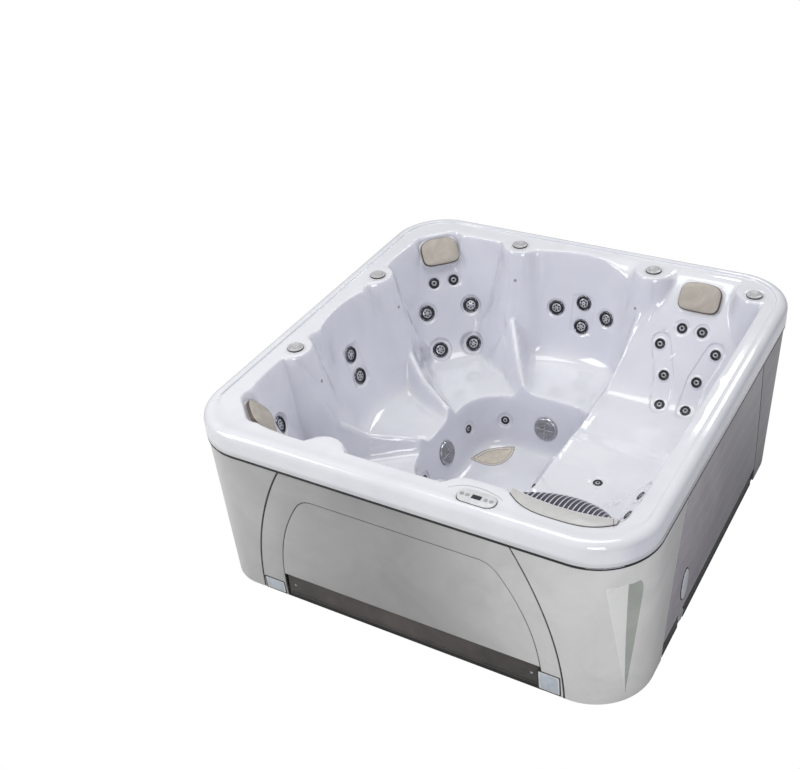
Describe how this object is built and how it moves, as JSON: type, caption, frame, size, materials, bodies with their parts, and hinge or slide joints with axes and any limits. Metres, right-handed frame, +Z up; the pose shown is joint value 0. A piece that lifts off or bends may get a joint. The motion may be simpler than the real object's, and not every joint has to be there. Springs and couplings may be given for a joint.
{
  "type": "hot tub",
  "caption": "Square hot tub: moulded shell with corner, bench and lounger seats, jets, headrests, lip controls and a filter grille, on a panelled cabinet with an access door.",
  "frame": {"origin": "on the ground under the middle of the tub", "axes": "+Z up, -Y is the front with the access door, +X is the lounger's side"},
  "size_m": [2.13, 2.1992, 0.9598],
  "materials": {
    "acrylic": "glossy moulded acrylic with a faint marble pattern",
    "cabinet_silver": "satin silver-grey panel",
    "cabinet_grey": "matt purple-grey siding",
    "dark_plastic": "matt black plastic",
    "jet_metal": "bright stainless and grey plastic",
    "charcoal_plastic": "dark grey plastic",
    "pillow_foam": "soft closed-cell foam, beige grey",
    "warm_grey_plastic": "warm grey plastic",
    "white_pipe": "white plumbing plastic",
    "frame_steel": "galvanised steel",
    "motor_paint": "dark blue paint",
    "filter_media": "pleated filter cloth",
    "display_button": "soft grey button"
  },
  "bodies": {
    "tub": {"back_panel": "cabinet_grey", "base_pan": "dark_plastic", "control_box": "charcoal_plastic", "control_panel": "warm_grey_plastic", "corner_panel_back_left": "cabinet_grey", "corner_panel_back_right": "cabinet_grey", "corner_panel_front_left": "cabinet_silver", "corner_panel_front_right": "cabinet_silver", "frame_back": "frame_steel", "frame_front": "frame_steel", "frame_left": "frame_steel", "frame_right": "frame_steel", "front_panel": "cabinet_silver", "heater": "frame_steel", "jets_back": "jet_metal", "jets_back_left": "jet_metal", "jets_footwell": "jet_metal", "jets_footwell_mound": "jet_metal", "jets_front_left": "jet_metal", "jets_left": "jet_metal", "jets_lounge_back": "jet_metal", "jets_lounge_seat": "jet_metal", "kick_strip": "dark_plastic", "left_panel": "cabinet_grey", "ozone_generator": "white_pipe", "pump_motor_1": "motor_paint", "pump_motor_2": "motor_paint", "pump_wet_end_1": "charcoal_plastic", "pump_wet_end_2": "charcoal_plastic", "right_panel": "cabinet_grey", "shell": "acrylic", "suction_cover_back": "charcoal_plastic", "suction_cover_front": "charcoal_plastic", "suction_cover_left": "charcoal_plastic", "trim_band": "dark_plastic", "valve_1": "white_pipe", "valve_2": "white_pipe", "valve_3": "white_pipe", "valve_4": "white_pipe", "valve_5": "white_pipe"},
    "knob_1": {"knob_1": "warm_grey_plastic"},
    "knob_2": {"knob_2": "warm_grey_plastic"},
    "knob_3": {"knob_3": "warm_grey_plastic"},
    "knob_4": {"knob_4": "warm_grey_plastic"},
    "knob_5": {"knob_5": "warm_grey_plastic"},
    "button_1": {"button_1": "display_button"},
    "button_2": {"button_2": "display_button"},
    "button_3": {"button_3": "display_button"},
    "button_4": {"button_4": "display_button"},
    "filter": {"filter_grille": "warm_grey_plastic", "filter_cartridge": "filter_media"},
    "front_access_door": {"front_access_door": "cabinet_silver"},
    "drain_cap": {"drain_cap": "dark_plastic"},
    "headrest_back_left": {"headrest_back_left": "pillow_foam"},
    "headrest_front_left": {"headrest_front_left": "pillow_foam"},
    "headrest_lounge": {"headrest_lounge": "pillow_foam"},
    "jet_insert_1": {"jet_insert_1": "jet_metal"},
    "jet_insert_2": {"jet_insert_2": "jet_metal"},
    "jet_insert_3": {"jet_insert_3": "jet_metal"},
    "jet_insert_4": {"jet_insert_4": "jet_metal"}
  },
  "joints": [
    {"name": "knob_1_turn", "type": "hinge", "parent": "tub", "child": "knob_1", "pos_m": [-0.91803, -0.3861, 0.942], "axis": [0, 0, 1], "range_deg": [-90, 90]},
    {"name": "knob_2_turn", "type": "hinge", "parent": "tub", "child": "knob_2", "pos_m": [-0.91483, 0.3696, 0.942], "axis": [0, 0, 1], "range_deg": [-90, 90]},
    {"name": "knob_3_turn", "type": "hinge", "parent": "tub", "child": "knob_3", "pos_m": [-0.37062, 0.9405, 0.942], "axis": [0, 0, 1], "range_deg": [-90, 90]},
    {"name": "knob_4_turn", "type": "hinge", "parent": "tub", "child": "knob_4", "pos_m": [0.36956, 0.9427, 0.942], "axis": [0, 0, 1], "range_deg": [-90, 90]},
    {"name": "knob_5_turn", "type": "hinge", "parent": "tub", "child": "knob_5", "pos_m": [0.89353, 0.8932, 0.942], "axis": [0, 0, 1], "range_deg": [-90, 90]},
    {"name": "button_1_press", "type": "slide", "parent": "tub", "child": "button_1", "axis": [0, 0, -1], "range_m": [0, 0.001], "stiffness_N_per_m": 800, "springref_m": -0.0005},
    {"name": "button_2_press", "type": "slide", "parent": "tub", "child": "button_2", "axis": [0, 0, -1], "range_m": [0, 0.001], "stiffness_N_per_m": 800, "springref_m": -0.0005},
    {"name": "button_3_press", "type": "slide", "parent": "tub", "child": "button_3", "axis": [0, 0, -1], "range_m": [0, 0.001], "stiffness_N_per_m": 800, "springref_m": -0.0005},
    {"name": "button_4_press", "type": "slide", "parent": "tub", "child": "button_4", "axis": [0, 0, -1], "range_m": [0, 0.001], "stiffness_N_per_m": 800, "springref_m": -0.0005},
    {"name": "filter_lift", "type": "slide", "parent": "tub", "child": "filter", "axis": [0, 0, 1], "range_m": [0, 0.35]},
    {"name": "access_door_pull", "type": "slide", "parent": "tub", "child": "front_access_door", "axis": [0, -1, 0], "range_m": [0, 0.15]},
    {"name": "drain_cap_turn", "type": "hinge", "parent": "tub", "child": "drain_cap", "pos_m": [1.02313, -0.41, 0.052], "axis": [1, 0, 0], "range_deg": [0, 180]},
    {"name": "headrest_back_left_pull", "type": "slide", "parent": "tub", "child": "headrest_back_left", "axis": [0.5255, -0.5255, 0.6691], "range_m": [0, 0.06]},
    {"name": "headrest_front_left_pull", "type": "slide", "parent": "tub", "child": "headrest_front_left", "axis": [0.5255, 0.5255, 0.6691], "range_m": [0, 0.06]},
    {"name": "headrest_lounge_pull", "type": "slide", "parent": "tub", "child": "headrest_lounge", "axis": [0, -0.7431, 0.6691], "range_m": [0, 0.06]},
    {"name": "jet_insert_1_turn", "type": "hinge", "parent": "tub", "child": "jet_insert_1", "pos_m": [-0.63421, 0.84135, 0.56767], "axis": [0.4563, -0.8098, 0.3689], "range_deg": [0, 90]},
    {"name": "jet_insert_2_turn", "type": "hinge", "parent": "tub", "child": "jet_insert_2", "pos_m": [-0.58173, 0.75006, 0.38343], "axis": [0.0869, -0.8241, 0.5598], "range_deg": [0, 90]},
    {"name": "jet_insert_3_turn", "type": "hinge", "parent": "tub", "child": "jet_insert_3", "pos_m": [-0.71633, 0.62208, 0.3827], "axis": [0.5625, -0.5625, 0.6059], "range_deg": [0, 90]},
    {"name": "jet_insert_4_turn", "type": "hinge", "parent": "tub", "child": "jet_insert_4", "pos_m": [-0.81269, 0.66781, 0.56815], "axis": [0.6782, -0.6019, 0.4217], "range_deg": [0, 90]}
  ]
}
